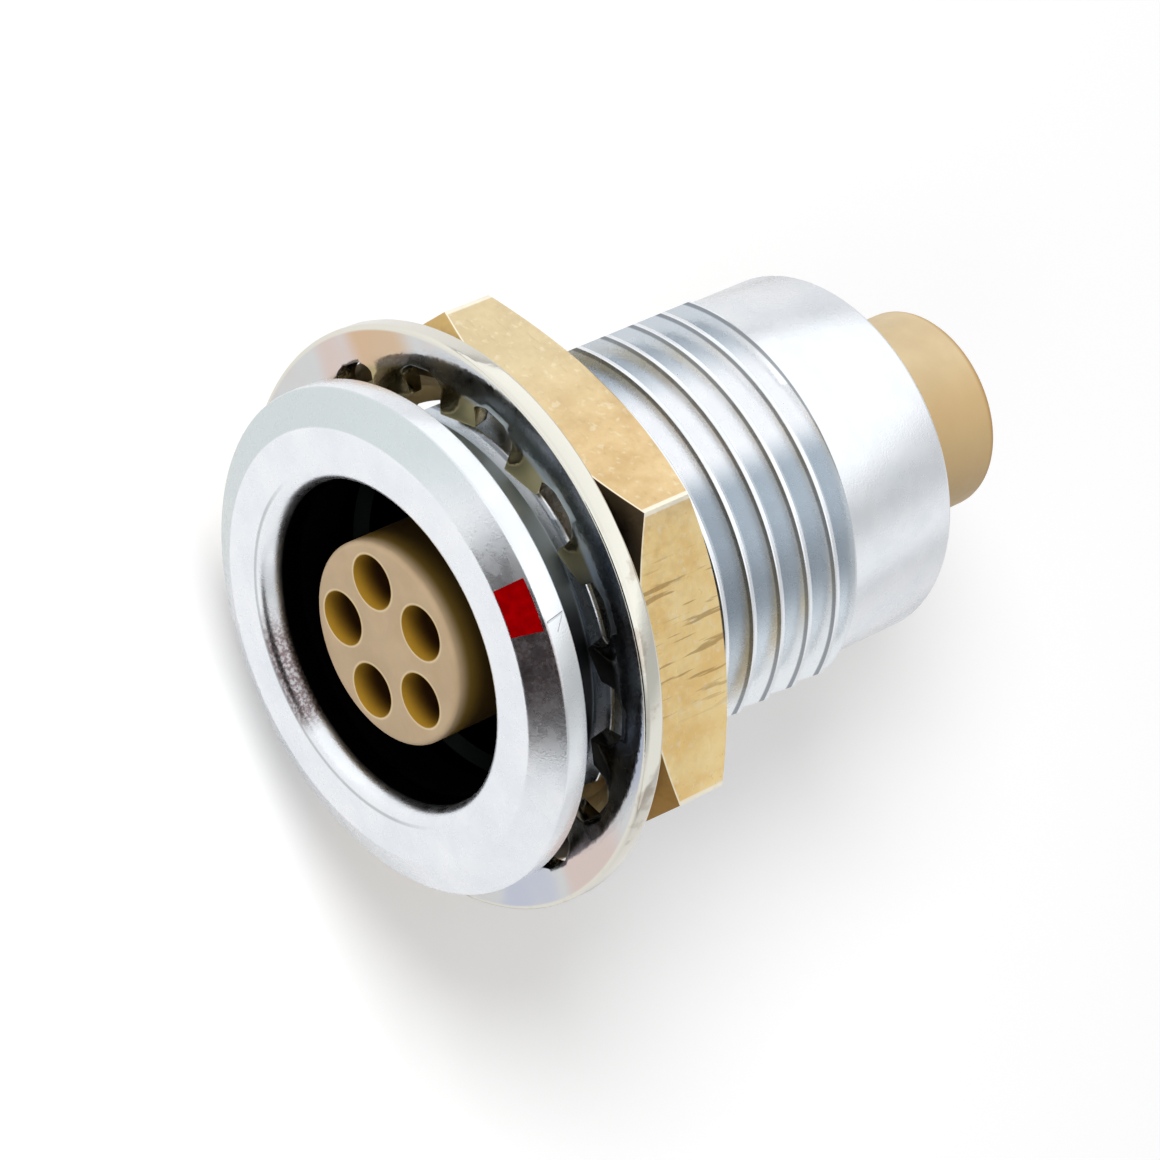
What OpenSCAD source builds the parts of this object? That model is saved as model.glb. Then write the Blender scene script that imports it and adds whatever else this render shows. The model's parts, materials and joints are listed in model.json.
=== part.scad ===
// Panel receptacle of a five-way circular push-pull connector.
//
// The socket axis lies along Y. The mating side faces -Y and the wiring side
// faces +Y. The keying mark is at the top, +Z, and the two wrench flats of the
// thread face +X and -X. The origin is the centre of the flange's rear face,
// the face that seats on the panel. All lengths are millimetres.
//
// The feature that takes the most skill is the internal-tooth lock washer: its
// fifteen teeth are lofts that twist out of the plane of the ring.

/* [Flange] */
// Flange outside diameter
flange_d = 14; // [12:0.1:16]
// Flange thickness from the seat to the front face
flange_t = 1.15; // [0.8:0.05:2]
// Height of the cylindrical rim in front of the seat
rim_t = 0.67; // [0.3:0.01:1]
// Diameter where the front face meets the bevel
face_d = 12; // [10:0.1:13]

/* [Socket bore] */
// Bore that takes the plug's sleeve
bore_d = 9; // [8:0.1:9.6]
// Radial size of the rounded entrance
entry_r = 0.29; // [0.1:0.01:0.5]
// Depth of the rounded entrance
entry_t = 0.45; // [0.1:0.01:0.8]
// Width of the keyway at the top of the bore
keyway_w = 1; // [0.6:0.1:1.6]
// Distance from the seat to the latch groove
latch_y = 1.5; // [1:0.1:2]
// Length of the latch groove
latch_l = 0.9; // [0.5:0.1:1.2]
// Latch groove diameter
latch_d = 9.6; // [9.2:0.1:10]

/* [Threaded body] */
// Thread major diameter
thread_d = 12; // [10:0.5:14]
// Thread pitch
pitch = 1; // [0.5:0.25:1.5]
// Distance from the seat to the end of the thread
thread_end = 10.6; // [8:0.1:14]
// Distance from the seat to the first crest on the key side
first_crest = 1.64; // [1.2:0.01:2]
// Diameter of the plain neck behind the flange
neck_d = 11.4; // [10.8:0.1:12]
// Width across the two flats
flats_w = 10.5; // [10:0.1:11.5]
// Rear barrel diameter
barrel_d = 10.4; // [9.9:0.1:10.5]
// Distance from the seat to the end of the barrel
barrel_end = 14.87; // [12:0.01:18]
// Bore behind the socket, which takes the inner parts
rear_bore_d = 9.5; // [9.1:0.1:9.8]
// Distance from the seat to the step between the two bores
rear_bore_y = 2.9; // [2.5:0.1:4]

/* [Insulators] */
// Diameter of the nose between the contacts and the plug's sleeve
nose_d = 5.65; // [5:0.05:6.5]
// How far the nose stands back from the front face
nose_set = 0.38; // [0:0.01:1]
// Collar diameter of both halves
collar_d = 9.4; // [9:0.05:9.6]
// Distance from the seat to the front of the collar
collar_y = 6.2; // [5:0.1:7]
// Distance from the seat to the joint between the halves
split_y = 7.8; // [7:0.1:9]
// Distance from the seat to the rear of the collar
collar_end = 9.5; // [8.5:0.1:10.5]
// Diameter of the stub that leaves the barrel
stub_d = 5.8; // [5:0.05:6.5]
// Distance from the seat to the rear of the stub
stub_end = 18.97; // [16:0.01:22]
// Contact passage diameter
passage_d = 1.5; // [1.3:0.05:1.7]

/* [Contacts] */
// Number of contacts
contact_n = 5; // [2:1:6]
// Diameter of the circle that the contacts stand on
contact_pcd = 3.46; // [3:0.02:4]
// Contact outside diameter
contact_d = 1.4; // [1.2:0.05:1.5]
// Distance from the seat to the mouth of a contact
contact_y = 0.53; // [0:0.01:1.5]
// Distance from the seat to the rear of a contact
contact_end = 18.5; // [16:0.1:20]
// Socket bore for the plug's pin
socket_d = 0.92; // [0.7:0.01:1]
// Socket bore depth
socket_l = 5; // [3:0.1:6]
// Solder cup bore
cup_d = 1.1; // [0.8:0.05:1.2]
// Solder cup depth
cup_l = 3; // [2:0.1:4]
// Diameter of the collar trapped between the insulator halves
bead_d = 1.7; // [1.6:0.05:1.8]
// Half the length of that collar
bead_half = 0.9; // [0.5:0.1:1.2]

/* [Earthing crown and retaining ring] */
// Number of slots through the crown
crown_slots = 6; // [3:1:8]
// Width of each crown slot
crown_slot_w = 0.35; // [0.2:0.05:0.6]
// Distance from the seat to the rear of the retaining ring
ring_end = 13.9; // [12:0.1:14.5]
// Retaining ring bore
ring_bore_d = 6.2; // [6:0.1:7]
// Width of the spanner slots in the retaining ring
ring_slot_w = 1.2; // [0.8:0.1:1.6]

/* [Nut] */
// Width across the nut's flats
nut_af = 14; // [13:0.5:16]
// Distance from the seat to the nut's front face
nut_y = 1.95; // [1.5:0.05:3]
// Nut thickness
nut_t = 2.75; // [2:0.05:4]
// Turn of the nut away from the key, seen from the rear
nut_turn = -5.7; // [-30:0.1:30]

/* [Lock washer] */
// Washer outside diameter
washer_d = 16.06; // [15:0.02:18]
// Washer thickness
washer_t = 0.6; // [0.4:0.05:1]
// Distance from the seat to the washer's front at its centre
washer_y = 1.03; // [0.9:0.01:1.3]
// Inside diameter of the plain ring, at the tooth roots
tooth_root_d = 14.14; // [13.5:0.02:15]
// Diameter across the tooth tips
tooth_tip_d = 12.2; // [12.1:0.02:12.6]
// Number of teeth
tooth_n = 15; // [10:1:20]
// Thickness of a formed tooth
tooth_t = 0.56; // [0.4:0.01:0.6]
// Turn of the first tooth past the key, in degrees
tooth_turn = -2.5; // [-12:0.5:12]
// Twist of a tooth at its tip, in degrees
tooth_twist = 17; // [5:1:25]
// Lean of the loose washer about X, in degrees
washer_lean_x = -1; // [-2:0.1:2]
// Lean of the loose washer about Z, in degrees
washer_lean_z = -1.4; // [-2:0.1:2]

/* [Key mark] */
// Outer diameter of the painted mark on the bevel
mark_d = 13.76; // [12.5:0.02:13.9]
// Width of the mark, in degrees
mark_angle = 11.8; // [6:0.2:20]
// Turn of the mark's middle past the key, in degrees
mark_turn = 1.8; // [-5:0.1:5]
// Depth of the recess that the paint fills
mark_t = 0.08; // [0.04:0.01:0.15]

/* [Hidden] */
$fn = 96;
eps = 0.01;
front_y = -flange_t;
crest_w = pitch / 8;
thread_depth = 0.6134 * pitch;
flank_w = thread_depth * tan(30);
thread_r = thread_d / 2;
root_r = thread_r - thread_depth;
neck_r = neck_d / 2;
last_crest = first_crest + 9 * pitch;
nut_bore_r = thread_r + 0.05;
nut_corner_r = nut_af / 2 / cos(30);
nut_end = nut_y + nut_t;
bevel_u = [(flange_d - face_d) / 2, flange_t - rim_t] / norm([(flange_d - face_d) / 2, flange_t - rim_t]);
bevel_n = [bevel_u[1], -bevel_u[0]];
shell_grey = [0.80, 0.82, 0.85];
nut_gold = [0.80, 0.65, 0.38];
washer_grey = [0.62, 0.64, 0.68];
front_tan = [0.71, 0.59, 0.44];
rear_tan = [0.82, 0.68, 0.46];
contact_gold = [0.85, 0.68, 0.30];
mark_red = [0.60, 0.02, 0.03];

// Turned shapes are drawn about a vertical axis, then laid along +Y. A turn
// about that axis starts at the key, +Z, and goes towards +X.
module on_axis() {
    rotate([-90, 0, 0]) children();
}

module turned(points) {
    rotate_extrude() polygon(points);
}

// Points of an elliptic arc in the plane of a turned profile.
function arc(centre, rx, ry, from, to, steps) =
    [for (i = [0:steps]) let (a = from + (to - from) * i / steps)
        centre + [rx * cos(a), ry * sin(a)]];

// One crest of the thread with the flanks on both sides.
function crest(y) = [
    [root_r, y - crest_w / 2 - flank_w],
    [thread_r, y - crest_w / 2],
    [thread_r, y + crest_w / 2],
    [root_r, y + crest_w / 2 + flank_w]];

// The first flank rises from the neck, and the last crest is cut off square.
thread_points = concat(
    [[neck_r, first_crest - crest_w / 2 - (thread_r - neck_r) * tan(30)],
     [thread_r, first_crest - crest_w / 2],
     [thread_r, first_crest + crest_w / 2],
     [root_r, first_crest + crest_w / 2 + flank_w]],
    [for (k = [1:8]) each crest(first_crest + k * pitch)],
    [[root_r, last_crest - crest_w / 2 - flank_w],
     [thread_r, last_crest - crest_w / 2],
     [thread_r, thread_end]]);

shell_outside = concat(
    [[face_d / 2, front_y],
     [flange_d / 2 - 0.04, -rim_t - 0.02],
     [flange_d / 2, -rim_t + 0.05],
     [flange_d / 2, -0.08],
     [flange_d / 2 - 0.08, 0],
     [neck_r, 0]],
    thread_points,
    [[barrel_d / 2, thread_end],
     [barrel_d / 2, barrel_end - 0.15],
     [barrel_d / 2 - 0.12, barrel_end]]);

shell_inside = concat(
    [[rear_bore_d / 2 + 0.15, barrel_end],
     [rear_bore_d / 2, barrel_end - 0.15],
     [rear_bore_d / 2, rear_bore_y],
     [bore_d / 2, rear_bore_y],
     [bore_d / 2, latch_y + latch_l],
     [latch_d / 2, latch_y + latch_l - (latch_d - bore_d) / 2],
     [latch_d / 2, latch_y],
     [bore_d / 2, latch_y]],
    arc([bore_d / 2 + entry_r, front_y + entry_t], entry_r, entry_t, 180, 270, 6));

// Section of the key mark, measured along the bevel and into it.
function mark_section(proud) =
    let (a = [face_d / 2, front_y] + bevel_u * 0.03,
         b = [face_d / 2, front_y] + bevel_u * (mark_d - face_d) / 2 / bevel_u[0])
    [a + bevel_n * proud, b + bevel_n * proud, b - bevel_n * mark_t, a - bevel_n * mark_t];

module mark_solid(proud) {
    rotate([0, 0, mark_turn - 90 - mark_angle / 2])
        rotate_extrude(angle = mark_angle) polygon(mark_section(proud));
}

module outer_shell() {
    color(shell_grey) on_axis() difference() {
        turned(concat(shell_outside, shell_inside));
        for (side = [0, 180])
            rotate([0, 0, side])
                translate([flats_w / 2, -thread_r, 0])
                    cube([2, thread_d, thread_end + 1]);
        translate([-keyway_w / 2, -rear_bore_d / 2, front_y - 1])
            cube([keyway_w, 1, rear_bore_y - front_y + 1.5]);
        mark_solid(0.2);
    }
}

module key_mark() {
    color(mark_red) on_axis() mark_solid(0);
}

// A slotted sleeve whose fingers bow inwards onto the plug.
module earthing_crown() {
    out_r = rear_bore_d / 2 - 0.03;
    wall = 0.22;
    bow = [[0, collar_y], [0, 5.2], [0.12, 4.6], [0.2, 4], [0.12, 3.4], [0, rear_bore_y]];
    color(contact_gold) on_axis() difference() {
        turned(concat([for (p = bow) [out_r - p[0], p[1]]],
                      [for (i = [len(bow) - 1:-1:0]) [out_r - wall - bow[i][0], bow[i][1]]]));
        for (i = [0:crown_slots - 1])
            rotate([0, 0, 180 / crown_slots * (i + 0.5)])
                translate([-rear_bore_d, -crown_slot_w / 2, rear_bore_y - 1])
                    cube([rear_bore_d * 2, crown_slot_w, 3.2]);
    }
}

// The ring that closes the rear bore and holds the insulators in.
module retaining_ring() {
    out_r = rear_bore_d / 2 - 0.02;
    in_r = ring_bore_d / 2;
    color(shell_grey) on_axis() difference() {
        turned([[in_r, collar_end], [out_r - 0.2, collar_end], [out_r, collar_end + 0.2],
                [out_r, ring_end - 0.15], [out_r - 0.15, ring_end],
                [in_r + 0.2, ring_end], [in_r, ring_end - 0.2]]);
        translate([-ring_slot_w / 2, -rear_bore_d, ring_end - 0.9])
            cube([ring_slot_w, rear_bore_d * 2, 2]);
    }
}

// Places a child at each contact, the first one in line with the key.
module at_contact(i) {
    rotate([0, 0, 360 / contact_n * i]) translate([0, -contact_pcd / 2, 0]) children();
}

module passages(from, to, pocket_from, pocket_to) {
    for (i = [0:contact_n - 1]) at_contact(i) {
        translate([0, 0, from]) cylinder(d = passage_d, h = to - from, $fn = 48);
        translate([0, 0, pocket_from])
            cylinder(d = bead_d + 0.04, h = pocket_to - pocket_from, $fn = 48);
    }
}

module insulator_front() {
    nose_y = front_y + nose_set;
    soft = 0.16;
    color(front_tan) on_axis() difference() {
        turned(concat(
            [[0, nose_y]],
            arc([nose_d / 2 - soft, nose_y + soft], soft, soft, -90, 0, 4),
            [[nose_d / 2, collar_y], [collar_d / 2 - 0.1, collar_y],
             [collar_d / 2, collar_y + 0.1], [collar_d / 2, split_y], [0, split_y]]));
        passages(nose_y - 1, split_y + 1, split_y - bead_half, split_y + 1);
    }
}

module insulator_rear() {
    soft = 0.4;
    color(rear_tan) on_axis() difference() {
        turned(concat(
            [[0, split_y], [collar_d / 2, split_y], [collar_d / 2, collar_end - 0.1],
             [collar_d / 2 - 0.1, collar_end], [stub_d / 2, collar_end]],
            arc([stub_d / 2 - soft, stub_end - soft], soft, soft, 0, 90, 5),
            [[0, stub_end]]));
        passages(split_y - 1, stub_end + 1, split_y - 1, split_y + bead_half);
    }
}

// A turned female contact: a slotted socket in front, a collar that the
// insulator halves trap, and a solder cup with an open side at the rear.
module contact(i) {
    color(contact_gold) on_axis() at_contact(i) difference() {
        turned([[0, contact_y], [contact_d / 2 - 0.06, contact_y],
                [contact_d / 2, contact_y + 0.06],
                [contact_d / 2, split_y - bead_half], [bead_d / 2, split_y - bead_half],
                [bead_d / 2, split_y + bead_half], [contact_d / 2, split_y + bead_half],
                [contact_d / 2, contact_end - 0.04], [contact_d / 2 - 0.04, contact_end],
                [0, contact_end]]);
        translate([0, 0, contact_y - 1]) cylinder(d = socket_d, h = socket_l + 1, $fn = 48);
        translate([0, 0, contact_y - eps])
            cylinder(d1 = socket_d + 0.2, d2 = socket_d, h = 0.12, $fn = 48);
        translate([-1, -0.1, contact_y - 1]) cube([2, 0.2, socket_l]);
        translate([0, 0, contact_end - cup_l]) cylinder(d = cup_d, h = cup_l + 1, $fn = 48);
        translate([-1, 0.3, contact_end - 1.2]) cube([2, 1, 2]);
    }
}

// Hexagon bar, turned to a 30 degree chamfer at both ends.
module hex_nut() {
    face_r = nut_af / 2;
    over = 0.6;
    rise = (nut_corner_r + over - face_r) * tan(30);
    color(nut_gold) on_axis() difference() {
        intersection() {
            rotate([0, 0, nut_turn - 90]) translate([0, 0, nut_y])
                cylinder(r = nut_corner_r, h = nut_t, $fn = 6);
            turned([[0, nut_y], [face_r, nut_y], [nut_corner_r + over, nut_y + rise],
                    [nut_corner_r + over, nut_end - rise], [face_r, nut_end],
                    [0, nut_end]]);
        }
        turned([[0, nut_y - 1], [nut_bore_r + 1.45, nut_y - 1], [nut_bore_r, nut_y + 0.45],
                [nut_bore_r, nut_end - 0.45], [nut_bore_r + 1.45, nut_end + 1],
                [0, nut_end + 1]]);
    }
}

// Stations of one tooth: distance from the axis, half width, share of twist.
tooth_stations = [
    [7.30, 1.20, 0.00], [7.08, 1.04, 0.03], [6.98, 0.84, 0.12], [6.84, 0.70, 0.28],
    [6.62, 0.62, 0.54], [6.36, 0.57, 0.80], [tooth_tip_d / 2, 0.53, 1.00]];

// A loft through those stations. Each section is a rectangle, turned about
// the radial line by its share of the twist.
module tooth() {
    corners = [[-1, -1], [1, -1], [1, 1], [-1, 1]];
    points = [for (s = tooth_stations) for (c = corners)
        let (a = tooth_twist * s[2], w = c[0] * s[1], t = c[1] * tooth_t / 2)
        [s[0], w * cos(a) - t * sin(a), w * sin(a) + t * cos(a)]];
    last = 4 * (len(tooth_stations) - 1);
    sides = [for (k = [0:4:last - 4]) for (j = [0:3])
        let (a = k + j, b = k + (j + 1) % 4)
        each [[a, b, b + 4], [a, b + 4, a + 4]]];
    polyhedron(points, concat([[3, 2, 1, 0]], sides, [[last, last + 1, last + 2, last + 3]]));
}

module lock_washer() {
    lip = 0.2;
    out_r = washer_d / 2;
    in_r = tooth_root_d / 2;
    half = washer_t / 2;
    color(washer_grey)
        translate([0, washer_y + half, 0]) rotate([washer_lean_x, 0, washer_lean_z])
            on_axis() union() {
                turned(concat(
                    [[in_r, -half]],
                    arc([out_r - lip, lip - half], lip, lip, -90, 0, 3),
                    arc([out_r - lip, half - lip], lip, lip, 0, 90, 3),
                    [[in_r, half]]));
                for (i = [0:tooth_n - 1])
                    rotate([0, 0, 360 / tooth_n * i + tooth_turn - 90]) tooth();
            }
}

outer_shell();
earthing_crown();
retaining_ring();
insulator_front();
insulator_rear();
contact(0);  // contact_1
contact(1);  // contact_2
contact(2);  // contact_3
contact(3);  // contact_4
contact(4);  // contact_5
hex_nut();
lock_washer();
key_mark();
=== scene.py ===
"""Panel receptacle of a five-way push-pull connector: meshes, materials, light and camera.

Pieces are built in millimetres and scaled to metres by MM when they are placed. The connector's
axis is Y, with the mating side at -Y. A turn about it starts at the key, +Z, and goes towards +X.
"""
import json
import math

import bmesh
import bpy
from mathutils import Matrix, Vector

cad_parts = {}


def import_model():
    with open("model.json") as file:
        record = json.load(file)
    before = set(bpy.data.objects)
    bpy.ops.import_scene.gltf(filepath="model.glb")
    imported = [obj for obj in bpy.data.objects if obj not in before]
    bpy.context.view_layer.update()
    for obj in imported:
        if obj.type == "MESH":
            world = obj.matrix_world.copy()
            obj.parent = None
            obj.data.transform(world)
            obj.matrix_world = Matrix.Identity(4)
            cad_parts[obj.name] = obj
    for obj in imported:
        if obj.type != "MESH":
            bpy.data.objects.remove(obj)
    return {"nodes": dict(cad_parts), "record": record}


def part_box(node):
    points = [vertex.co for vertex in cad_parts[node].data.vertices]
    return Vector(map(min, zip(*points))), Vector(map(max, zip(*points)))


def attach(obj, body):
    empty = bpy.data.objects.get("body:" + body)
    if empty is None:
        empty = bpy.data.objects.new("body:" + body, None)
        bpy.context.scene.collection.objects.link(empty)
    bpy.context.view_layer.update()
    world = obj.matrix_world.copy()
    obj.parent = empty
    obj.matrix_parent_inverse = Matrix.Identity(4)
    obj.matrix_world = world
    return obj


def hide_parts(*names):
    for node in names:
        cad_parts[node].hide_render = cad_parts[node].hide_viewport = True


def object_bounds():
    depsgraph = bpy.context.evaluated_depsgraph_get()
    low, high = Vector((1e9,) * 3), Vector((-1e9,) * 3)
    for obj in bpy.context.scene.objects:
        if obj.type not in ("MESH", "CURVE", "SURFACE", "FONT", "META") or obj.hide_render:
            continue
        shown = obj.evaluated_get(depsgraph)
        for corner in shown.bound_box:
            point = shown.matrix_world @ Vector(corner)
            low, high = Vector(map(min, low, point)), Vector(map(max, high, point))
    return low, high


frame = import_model()
cad_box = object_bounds()

MM = 0.001
TAU = 2 * math.pi
SEGMENTS = 288
INSULATOR_SEGMENTS = 192
SLOPE_30 = math.tan(math.radians(30))


# ---------------------------------------------------------------- sizes

def span(node, axis):
    """Lowest and highest coordinate of a CAD node along one axis, in millimetres."""
    low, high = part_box(node)
    return low[axis] / MM, high[axis] / MM


# Shell. ENTRY is the rounded entry's radii, across and along the axis.
FRONT, BARREL_END = span("outer_shell", 1)
FLANGE_R = span("outer_shell", 0)[1]
FACE_R = 6.0
RIM_Y = -0.67
RIM_SOFT = 0.07
BORE_R = 4.5
ENTRY = (0.46, 0.62)
REAR_BORE_R = 4.75
REAR_BORE_Y = 2.9
LATCH_Y, LATCH_END, LATCH_R = 1.5, 2.4, 4.8
KEYWAY_W = 1.0
NECK_R = 5.7
NECK_SOFT = 0.08
FLATS_X = 5.25
BARREL_R = 5.2
BARREL_SOFT = 0.16

# Thread, on the shell and in the nut, where it has a little room. It is built from the first
# turn to the last and ends where the piece does.
THREAD_R = 6.0
PITCH = 1.0
THREAD_DEPTH = 0.6134 * PITCH
CREST_W = PITCH / 8
FIRST_CREST = 1.64
THREAD_START = FIRST_CREST - 0.3
THREAD_END = 10.6
THREAD_ROOM = 0.04
FIRST_TURN, LAST_TURN = -2, 9

# Red mark in the flange's bevel.
MARK_R = (6.027, 6.88)
MARK_HALF = math.radians(5.9)
MARK_TURN = math.radians(1.8)
MARK_DEPTH = 0.08

# Insulator halves and the passages for the contacts.
NOSE_R = 2.825
NOSE_SOFT = 0.16
NOSE_Y, SPLIT_Y = span("insulator_front", 1)
COLLAR_R = span("insulator_front", 0)[1]
COLLAR_Y = 6.2
COLLAR_END = 9.5
COLLAR_CHAMFER = 0.1
STUB_R = 2.9
STUB_SOFT = 0.24
STUB_END = span("insulator_rear", 1)[1]
PASSAGE_R = 0.75
POCKET_R = 0.87
POCKET_HALF = 0.9
CONTACTS = 5
CONTACT_RING = 1.73

# Nut. The radii of its flats and corners, and the chamfer of its bore.
NUT_Y, NUT_END = span("hex_nut", 1)
NUT_FLAT_R = 7.0
NUT_CORNER_R = NUT_FLAT_R / math.cos(TAU / 12)
NUT_TURN = math.radians(-5.7)
NUT_BORE_R = 6.05
NUT_CHAMFER = 0.45

# Washer. It lies tilted: WASHER_LEAN is about X and about Z. The flare widens a tooth at its root.
WASHER_R = 8.03
WASHER_T = 0.6
WASHER_MID = 1.33
WASHER_LEAN = (math.radians(-1.0), math.radians(-1.4))
WASHER_LIP = 0.12
TEETH = 15
TOOTH_FIRST = math.radians(-2.5)
TOOTH_ROOT_R = 7.07
TOOTH_TIP_R = 6.1
TOOTH_TIP_HALF = 0.53
TOOTH_TAPER = 0.11
TOOTH_TWIST = math.radians(17)
TOOTH_THINNING = 0.02
FLARE = 0.46
FLARE_REACH = 0.35


# ---------------------------------------------------------------- mesh tools

def polar(r, y, turn):
    return Vector((r * math.sin(turn), y, r * math.cos(turn)))


def arc(centre, radii, start, end, steps):
    """Points (r, y) of an elliptic arc, angles in degrees from +r towards +y."""
    points = []
    for i in range(steps + 1):
        a = math.radians(start + (end - start) * i / steps)
        points.append((centre[0] + radii[0] * math.cos(a), centre[1] + radii[1] * math.sin(a)))
    return points


def make(name, bm):
    bmesh.ops.recalc_face_normals(bm, faces=bm.faces[:])
    mesh = bpy.data.meshes.new(name)
    bm.to_mesh(mesh)
    bm.free()
    piece = bpy.data.objects.new(name, mesh)
    bpy.context.scene.collection.objects.link(piece)
    return piece


def face(bm, corners):
    """A face on the corners, with repeated ones dropped. None where fewer than three are left."""
    kept = []
    for c in corners:
        if c not in kept:
            kept.append(c)
    return bm.faces.new(kept) if len(kept) > 2 else None


def lathe(name, profile, segments=SEGMENTS, sector=None):
    """Turns a closed profile of (r, y) points about Y, all round or over a sector (from, to)."""
    bm = bmesh.new()
    start, end = sector or (0, TAU)
    columns = segments + 1 if sector else segments
    rings = []
    for r, y in profile:
        if r < 1e-6:
            rings.append([bm.verts.new((0, y, 0))])
        else:
            rings.append([bm.verts.new(polar(r, y, start + (end - start) * i / segments))
                          for i in range(columns)])
    for a, b in zip(rings, rings[1:] + rings[:1]):
        for i in range(segments):
            j = (i + 1) % columns
            face(bm, [a[i % len(a)], a[j % len(a)], b[j % len(b)], b[i % len(b)]])
    if sector:
        for i in (0, -1):
            face(bm, [ring[i] for ring in rings])
    return make(name, bm)


def block(name, low, high):
    bm = bmesh.new()
    bmesh.ops.create_cube(bm, size=1)
    size = Vector(high) - Vector(low)
    middle = (Vector(high) + Vector(low)) / 2
    bm.transform(Matrix.Translation(middle) @ Matrix.Diagonal((*size, 1)))
    return make(name, bm)


def settle(piece):
    """Applies the piece's modifiers to its mesh."""
    shown = piece.evaluated_get(bpy.context.evaluated_depsgraph_get())
    mesh = bpy.data.meshes.new_from_object(shown)
    piece.modifiers.clear()
    old, piece.data = piece.data, mesh
    bpy.data.meshes.remove(old)
    return piece


def combine(piece, tool, operation):
    cut = piece.modifiers.new("combine", "BOOLEAN")
    cut.operation, cut.solver, cut.object = operation, "EXACT", tool
    settle(piece)
    bpy.data.objects.remove(tool)
    return piece


def round_edges(piece, width, segments, angle):
    soft = piece.modifiers.new("edges", "BEVEL")
    soft.width, soft.segments = width, segments
    soft.limit_method, soft.angle_limit = "ANGLE", math.radians(angle)
    soft.harden_normals = False
    return settle(piece)


def smooth(piece, angle=32):
    piece.data.polygons.foreach_set("use_smooth", [True] * len(piece.data.polygons))
    piece.data.set_sharp_from_angle(angle=math.radians(angle))
    return piece


# ---------------------------------------------------------------- pieces

def bevel_point(r, out=0.0):
    """A point on the flange's bevel at radius r, or out of it by a distance along its normal."""
    along = Vector((FLANGE_R - FACE_R, RIM_Y - FRONT)).normalized()
    on = Vector((FACE_R, FRONT)) + along * (r - FACE_R) / along.x
    return tuple(on + Vector((along.y, -along.x)) * out)


def thread_radius(along):
    """Radius of the thread's profile at a distance along the axis from the middle of a crest."""
    away = abs((along / PITCH + 0.5) % 1 - 0.5) * PITCH
    fall = (away - CREST_W / 2) / SLOPE_30
    return max(THREAD_R - THREAD_DEPTH, THREAD_R - max(fall, 0))


def thread_columns(low, high, limit):
    """Rows of (r, y) along the thread for each column, and how many of them make one pitch.

    The rows climb by one pitch in a turn, so column SEGMENTS is column 0 with its rows moved on.
    The limit takes a row's radius and y and gives the radius it may have.
    """
    flank = THREAD_DEPTH * SLOPE_30
    edge = CREST_W / 2
    inset = 0.02
    marks = [-edge - flank, -edge - 0.6 * flank, -edge - 0.15 * flank, -edge - 0.03 * flank,
             -edge + inset, edge - inset, edge + 0.03 * flank, edge + 0.15 * flank, edge + flank]
    columns = []
    for i in range(SEGMENTS):
        climb = PITCH * i / SEGMENTS
        rows = []
        for turn in range(FIRST_TURN, LAST_TURN + 1):
            for mark in marks:
                y = min(max(FIRST_CREST + turn * PITCH + climb + mark, low), high)
                rows.append((limit(thread_radius(y - FIRST_CREST - climb), y), y))
        columns.append(rows)
    return columns, len(marks)


def threaded(name, before, threads, after):
    """Skin of a turned piece: in each column's closed profile, the thread's rows stand between
    the points before and the points after.
    """
    rows, period = threads
    bm = bmesh.new()
    columns = []
    for i in range(SEGMENTS):
        columns.append([[bm.verts.new(polar(r, y, TAU * i / SEGMENTS)) for r, y in part]
                        for part in (before, rows[i], after)])
    for i in range(SEGMENTS):
        a, b = columns[i], columns[(i + 1) % SEGMENTS]
        shift = period if i == SEGMENTS - 1 else 0
        left = a[0] + a[1] + a[2]
        right = b[0] + b[1][shift:] + [b[1][-1]] * shift + b[2]
        for j in range(len(left)):
            k = (j + 1) % len(left)
            face(bm, [left[j], right[j], right[k], left[k]])
    bmesh.ops.remove_doubles(bm, verts=bm.verts[:], dist=2e-5)
    return make(name, bm)


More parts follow.
